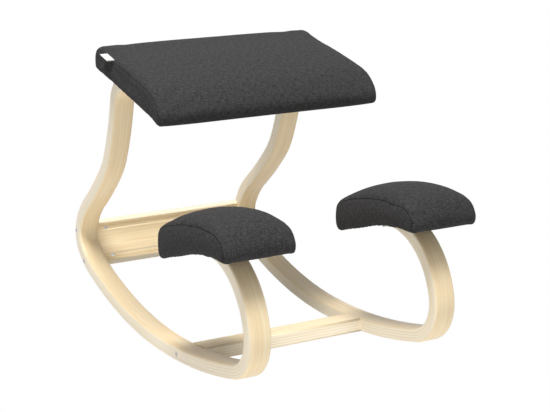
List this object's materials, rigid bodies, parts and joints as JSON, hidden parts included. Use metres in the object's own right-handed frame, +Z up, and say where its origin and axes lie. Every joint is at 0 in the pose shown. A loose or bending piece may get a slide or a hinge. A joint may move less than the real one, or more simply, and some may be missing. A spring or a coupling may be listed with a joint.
{
  "type": "kneeling chair",
  "caption": "Rocking kneeling chair: bent laminated wood runners joined by crossbars carry a padded sloping seat and padded knee rests",
  "frame": {"origin": "on the floor, under the middle of the chair's overall box; the runners stand on the floor 8 mm behind it", "axes": "+Z up, the sitter faces -Y, the sitter's right side is at -X; the chair is left-right symmetric about the YZ plane except for the blank tab"},
  "size_m": [0.4714, 0.7174, 0.5112],
  "materials": {
    "birch": "clear satin lacquer over laminated birch",
    "board_plywood": "bare moulded plywood",
    "dowel_beech": "bare fluted beech",
    "steel": "zinc-plated steel",
    "cover_cloth": "anthracite woven upholstery cloth",
    "foam": "open-cell upholstery foam",
    "lining_cloth": "thin black non-woven lining",
    "tab_cloth": "blank white woven tape"
  },
  "bodies": {
    "root": {"right_runner": "birch", "left_runner": "birch", "rear_crossbar": "birch", "front_crossbar": "birch", "rear_crossbar_bolts": "steel", "rear_barrel_nuts": "steel", "front_crossbar_bolts": "steel", "front_barrel_nuts": "steel", "front_dowels": "dowel_beech", "seat_board": "board_plywood", "seat_lining": "lining_cloth", "seat_foam": "foam", "seat_cover": "cover_cloth", "seat_screws": "steel", "seat_washers": "steel", "seat_tee_nuts": "steel", "blank_tab": "tab_cloth", "right_knee_board": "board_plywood", "left_knee_board": "board_plywood", "right_knee_lining": "lining_cloth", "left_knee_lining": "lining_cloth", "right_knee_foam": "foam", "left_knee_foam": "foam", "right_knee_cover": "cover_cloth", "left_knee_cover": "cover_cloth", "knee_screws": "steel", "knee_washers": "steel", "knee_tee_nuts": "steel"}
  },
  "joints": []
}
